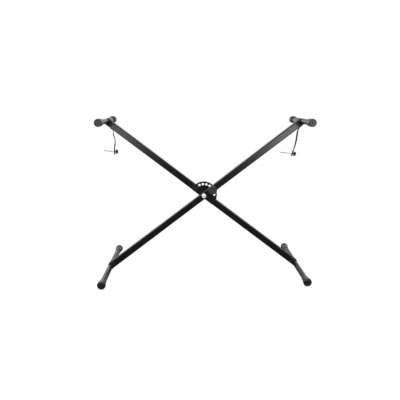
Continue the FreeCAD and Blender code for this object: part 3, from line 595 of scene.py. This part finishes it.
# %% [markdown]
# ## Weld beads
#
# A bar is welded to its leg all the way round: across the leg's top and underside, and half round the
# bar on both of its sides. A bead laid by hand is a row of overlapping ripples, each a flattened drop
# that the next one half covers. The path is written in the leg's frame; the recipe puts one drop every
# millimetre or so along it, turned to follow it, each a little larger or smaller than the next.


# %% Recipe for a bead
def bead_recipe():
    recipe = Recipe("weld_bead", Pitch=1.25 * MM, Width=1.9 * MM, Ripple=1.15 * MM, Seed=7)
    curve = recipe.node("GeometryNodeMeshToCurve", {}, [recipe.given("Guide")])
    stepped = recipe.node("GeometryNodeResampleCurve", {"mode": "LENGTH"},
                          {"Curve": curve, "Length": recipe.given("Pitch")})
    spots = recipe.node("GeometryNodeCurveToPoints", {"mode": "EVALUATED"}, {"Curve": stepped},
                        output="Points")
    turns = Wire(recipe, spots.socket.node.outputs["Rotation"])
    drop = recipe.node("GeometryNodeMeshUVSphere", {}, {"Segments": 10, "Rings": 6, "Radius": 1.0})
    uneven = recipe.node("FunctionNodeRandomValue", {"data_type": "FLOAT"},
                         {"Min": 0.86, "Max": 1.08, "Seed": recipe.given("Seed")}, output="Value")
    across = recipe.given("Width") * uneven
    shape = recipe.node("ShaderNodeCombineXYZ", {}, [across, across, recipe.given("Ripple")])
    row = recipe.node("GeometryNodeInstanceOnPoints", {},
                      {"Points": spots, "Instance": drop, "Rotation": turns, "Scale": shape})
    recipe.deliver(row, weld_coat)
    return recipe


bead = bead_recipe()
print("bead recipe has", len(bead.tree.nodes), "nodes")

# %% Paths of the beads
SIT = 0.9 * MM
plate_radius, plate_weld_half = 52.0 * MM, math.radians(11)


def bar_joint(end):
    """The closed path round the joint of a leg's end and its bar."""
    reach = bar_radius + SIT
    path = []
    for level, way in ((leg_outer + SIT, 1), (leg_inner - SIT, -1)):
        path.append(Vector((end * (arm_length + SIT), level, -way * reach)))
        for step in range(25):
            angle = math.pi * (step / 24 - 0.5) * way
            x = end * (arm_length - reach * math.cos(angle))
            path.append(Vector((x, level, reach * math.sin(angle))))
        path.append(Vector((end * (arm_length + SIT), level, way * reach)))
    return path


def plate_joint(end):
    """The short arc where the plate's rim crosses the leg."""
    reach = plate_radius + 0.4 * MM
    angles = [plate_weld_half * (step / 6 - 1) for step in range(13)]
    level = leg_inner - 0.5 * MM
    return [Vector((end * reach * math.cos(a), level, reach * math.sin(a))) for a in angles]


welds = {"rear_leg": ["left_top_weld", "right_foot_weld", "plate_weld_upper", "plate_weld_lower"],
         "front_leg": ["right_top_weld", "left_foot_weld"]}
for leg, replaced in welds.items():
    paths = [(bar_joint(end), True) for end in (TOP, FOOT)]
    if leg == "rear_leg":
        paths += [(plate_joint(end), False) for end in (TOP, FOOT)]
    beads = grow(f"{leg}_weld_beads", bead, guide_of("weld_paths", paths), leg_place[leg])
    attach(beads, leg)
    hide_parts(*replaced)
    print(leg, "beads", len(beads.data.polygons), "faces")

# %% [markdown]
# ## Threads
#
# Each thumb screw has a threaded stud between its knob and the clamp block. A thread is a ridge that
# climbs a core in a spiral, so the recipe winds a round wire on a plain rod. The engineering model
# has the rod at the thread's outside size, and the threaded one takes its place.


# %% Recipe for a threaded rod
def thread_recipe():
    recipe = Recipe("threaded_rod", Core=2.05 * MM, Wire=0.42 * MM, Pitch=0.8 * MM, Length=10.0 * MM)
    length, core = recipe.given("Length"), recipe.given("Core")
    rod = recipe.node("GeometryNodeMeshCylinder", {}, {"Vertices": 32, "Radius": core, "Depth": length})
    turns = length.maths("DIVIDE", recipe.given("Pitch")) - 1.0
    height = recipe.given("Pitch") * turns
    spiral = recipe.node("GeometryNodeCurveSpiral", {}, {
        "Resolution": 28, "Rotations": turns, "Start Radius": core, "End Radius": core,
        "Height": height})
    centred = recipe.node("ShaderNodeCombineXYZ", {}, {"Z": height * -0.5})
    placed = recipe.node("GeometryNodeTransform", {}, {"Geometry": spiral, "Translation": centred})
    round_wire = recipe.node("GeometryNodeCurvePrimitiveCircle", {},
                             {"Resolution": 8, "Radius": recipe.given("Wire")})
    ridge = recipe.node("GeometryNodeCurveToMesh", {},
                        {"Curve": placed, "Profile Curve": round_wire, "Fill Caps": True})
    both = recipe.tree.nodes.new("GeometryNodeJoinGeometry")
    for shape in (rod, ridge):
        recipe.join(shape, both.inputs["Geometry"])
    recipe.deliver(Wire(recipe, both.outputs["Geometry"]), finishes["zinc"])
    return recipe


thread = thread_recipe()
stud_length, stud_inset = 9.9 * MM, 0.2 * MM
one_spot = [([Vector()], False)]
for side in ("left", "right"):
    band_points, _, centre, lean = routes(side)
    middle = centre + lean @ Vector((1, 0, 0)) * (stud_length / 2 - stud_inset)
    place = Matrix.Translation(middle) @ lean.to_4x4() @ Matrix.Rotation(math.pi / 2, 4, "Y")
    screw = grow(f"{side}_thumb_screw_thread", thread, guide_of("spot", one_spot), place,
                 Length=stud_length)
    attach(screw, f"{side}_thumb_screw")
    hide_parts(f"{side}_thumb_screw_stud")
    band, _, band_line = bands[side]
    line_length(band_line)
    print(side, "thread", len(screw.data.polygons), "faces")

# %% [markdown]
# ## Moulded rubber
#
# The sleeves and boots are turned shapes, but a mould leaves more than a plain turned solid shows: a
# thicker lip at the mouth so that it doesn't tear when it is pushed on, a shallow dish in the end,
# and the small nub where the rubber ran in. Each is a half section turned about its bar, so the eight
# pieces share one helper and two lists of points.


# %% Turn a half section about an axis
def turned(name, section, place, sides=64):
    """A closed shape from (radius, height) points in millimetres about the place's Z axis."""
    rings = []
    for radius, height in section:
        ring = []
        for step in range(sides):
            angle = 2 * math.pi * step / sides
            spot = Vector((radius * math.cos(angle), radius * math.sin(angle), height)) * MM
            ring.append(place @ spot)
        rings.append(ring)
    return skin(name, rings, closed_ends=False)


def rounded(centre_radius, centre_height, radius, start, end, steps=6):
    """Points on an arc of a section; angles from the radius direction towards the end, in degrees."""
    angles = [math.radians(start + (end - start) * step / steps) for step in range(steps + 1)]
    return [(centre_radius + radius * math.cos(a), centre_height + radius * math.sin(a))
            for a in angles]


TINY = 0.0001
sleeve_section = (
    [(TINY, 0), (10, 0), (10, -33.6), (10.4, -34), (13.4, -34)] + rounded(13.4, -33.4, 0.6, -90, 0, 3)
    + [(14.0, -31.8), (13.7, -31.3), (13.7, -30.7), (13.85, -30.2), (13.95, -12), (14, 1)]
    + rounded(12, 2, 2, 0, 80)
    + [(10.9, 4.0), (10.5, 3.75), (10.1, 3.4), (9.8, 3.4), (2.5, 3.4), (2.2, 3.4), (1.8, 3.55),
       (1.5, 3.9), (1.1, 4.0), (TINY, 4.0)])
boot_section = (
    [(TINY, 0), (10, 0), (10, -43.7), (10.3, -44), (10.6, -44)] + rounded(10.6, -43.4, 0.6, -90, 0, 3)
    + [(11.4, -41.4), (11.4, -40.9), (11.55, -38), (11.75, -34), (12.1, -28), (12.6, -21), (13.1, -16),
       (13.5, -13.2), (14.0, -10.6), (14.6, -8.2), (15.1, -6.2), (15.4, -4.2), (15.5, -2.4), (15.5, -1.0),
       (15.2, -0.7), (15.2, -0.3), (15.5, 0.0)]
    + rounded(9.5, 0, 6, 4, 86, 12)
    + [(8.6, 6.0), (8.2, 5.8), (7.8, 5.5), (7.5, 5.5), (2.5, 5.5), (2.2, 5.5), (1.8, 5.6), (1.5, 5.9),
       (1.1, 6.0), (TINY, 6.0)])

# %% The eight rubber pieces
top_half, foot_half, bar_offset = 167.0 * MM, 219.5 * MM, 8.0 * MM
leg_ends = (("rear_leg", "left", "right", 1), ("front_leg", "right", "left", -1))
for leg, top_side, foot_side, outer in leg_ends:
    for facing, way in (("front", -1), ("rear", 1)):
        for kind, end, half, section in ((f"{top_side}_top_cap", TOP, top_half, sleeve_section),
                                         (f"{foot_side}_foot_boot", FOOT, foot_half, boot_section)):
            spot = leg_place[leg] @ Vector((end * arm_length, 0, 0))
            spot.y = outer * bar_offset + way * half
            place = Matrix.Translation(spot) @ Matrix.Rotation(-way * math.pi / 2, 4, "X")
            rubber_piece = turned(f"{kind}_{facing}_moulded", section, place)
            rubber_piece.data.materials.append(finishes["rubber"])
            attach(rubber_piece, leg)
            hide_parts(f"{kind}_{facing}")

# %% [markdown]
# ## Blind rivets
#
# A blind rivet is set by pulling a pin through it until the pin snaps. That leaves a domed head with a
# hole in the middle and the pin's broken end just inside, and a swollen end in the tube. It is one
# more turned section, about the leg's underside direction.

# %% The two rivets
rivet_setback = 11.5 * MM
seat = 13.7
head = [(4.0, 0.0), (3.9, 0.35), (3.5, 0.75), (2.9, 1.08), (2.2, 1.3), (1.5, 1.4)]
broken_pin = [(1.25, 1.3), (1.15, 0.7), (0.95, 0.7), (0.9, 0.95), (0.5, 1.05), (TINY, 1.05)]
rivet_section = [(TINY, 9.1), (3.1, 9.1), (3.1, 11.3), (2.0, 11.3), (2.0, seat)]
rivet_section += [(radius, seat + rise) for radius, rise in head + broken_pin]
for side, leg in leg_of_side.items():
    along = arm_length - band_place[side] + rivet_setback
    place = leg_place[leg] @ Matrix.Translation((along, leg_middle, 0))
    rivet = turned(f"{side}_blind_rivet", rivet_section, place, sides=32)
    rivet.data.materials.append(finishes["zinc"])
    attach(rivet, leg)
    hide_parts(f"{side}_strap_rivet")
    print(side, "rivet", len(rivet.data.polygons), "faces")

# %% [markdown]
# ## Studio
#
# The stand is on a white sweep in a white room. The floor is a real surface that takes its shadow.
# Rays from the camera see it brighter than the lamps make it, so that it goes white without any more
# light on the black steel. Black gloss is drawn by what it reflects: the real picture was taken with
# white behind and above the stand and little in front of it, so glossy rays see the floor bright
# behind the stand and dim before it, and the world does the same by direction.


# %% Floor
def studio_floor():
    """A pale diffuse floor: white to the camera, and to gloss bright behind and dim in front."""
    paint = Paint("white_floor")
    rays = "ShaderNodeLightPath"
    camera_ray = paint.node(rays, {}, {}, output="Is Camera Ray")
    gloss_ray = paint.node(rays, {}, {}, output="Is Glossy Ray")
    behind = paint.along((0, 1, 0), (0, 0, 0)).above(1500.0, 1100.0)
    glow = camera_ray * 1.04 + gloss_ray * (behind * 0.93 + 0.05)
    white = paint.node("ShaderNodeEmission", {}, {"Color": (1, 1, 1, 1), "Strength": glow})
    paint.finish(Base_Color=grey(0.85), Roughness=0.9, Specular_IOR_Level=0.0)
    share = camera_ray * 0.93 + gloss_ray * 0.95
    mixed = paint.node("ShaderNodeMixShader", {}, [share, Wire(paint, paint.shader.outputs[0]), white])
    paint.join(mixed, paint.tree.nodes["Material Output"].inputs["Surface"])
    return paint.material


floor_mesh = bpy.data.meshes.new("floor")
floor_reach = 12.0
floor_corners = [(x * floor_reach, y * floor_reach, 0) for x, y in ((-1, -1), (1, -1), (1, 1), (-1, 1))]
floor_mesh.from_pydata(floor_corners, [], [(0, 1, 2, 3)])
floor = bpy.data.objects.new("floor", floor_mesh)
bpy.context.scene.collection.objects.link(floor)
floor_mesh.materials.append(studio_floor())

# %% World
world = bpy.data.worlds.new("studio")
bpy.context.scene.world = world
world.use_nodes = True
sky = Tree(world.node_tree)
direction = sky.node("ShaderNodeTexCoord", {}, {}, output="Generated")
parts_of_it = "ShaderNodeSeparateXYZ"
backwards = sky.node(parts_of_it, {}, [direction], output="Y")
upwards = sky.node(parts_of_it, {}, [direction], output="Z")
high = upwards.above(0.25, 0.2)
room = (backwards + upwards * 0.55).above(-0.05, 0.45) * (0.92 - high * 0.45) + 0.05
to_camera = sky.node("ShaderNodeLightPath", {}, {}, output="Is Camera Ray")
background = world.node_tree.nodes["Background"]
background.inputs["Color"].default_value = (1, 1, 1, 1)
sky.join(room.maths("MAXIMUM", to_camera), background.inputs["Strength"])


# %% [markdown]
# Lamps low in front put the grey sheen on the upper legs, which fades towards the crossing. One high on
# the left draws a fine line on the front leg's upper edge, and two weak ones behind keep the back from
# going flat. No camera ray sees them.


# %% Lamps
def soft_lamp(name, place, target, size, power):
    """A square area lamp that looks at a point."""
    light = bpy.data.lights.new(name, "AREA")
    light.size = size
    light.energy = power
    lamp = bpy.data.objects.new(name, light)
    lamp.location = place
    aim = Vector(target) - Vector(place)
    lamp.rotation_euler = aim.to_track_quat("-Z", "Y").to_euler()
    lamp.visible_camera = False
    bpy.context.scene.collection.objects.link(lamp)
    return lamp


soft_lamp("overhead", (0.2, 0.2, 2.4), (0, 0, 0.4), 1.6, 45)
soft_lamp("front_right", (1.0, -2.5, 0.5), (0.2, 0, 0.5), 0.8, 13)
soft_lamp("front_left", (-0.9, -2.5, 0.5), (-0.2, 0, 0.5), 0.7, 7)
soft_lamp("high_left", (-1.5, -0.4, 1.9), (0, 0, 0.3), 0.9, 24)
soft_lamp("back_left", (-0.9, 2.7, 0.8), (0, 0, 0.4), 1.2, 4)
soft_lamp("back_right", (1.6, 2.3, 1.2), (0, 0, 0.4), 1.2, 5)
print("lamps placed")

# %% Update the scene
bpy.context.view_layer.update()
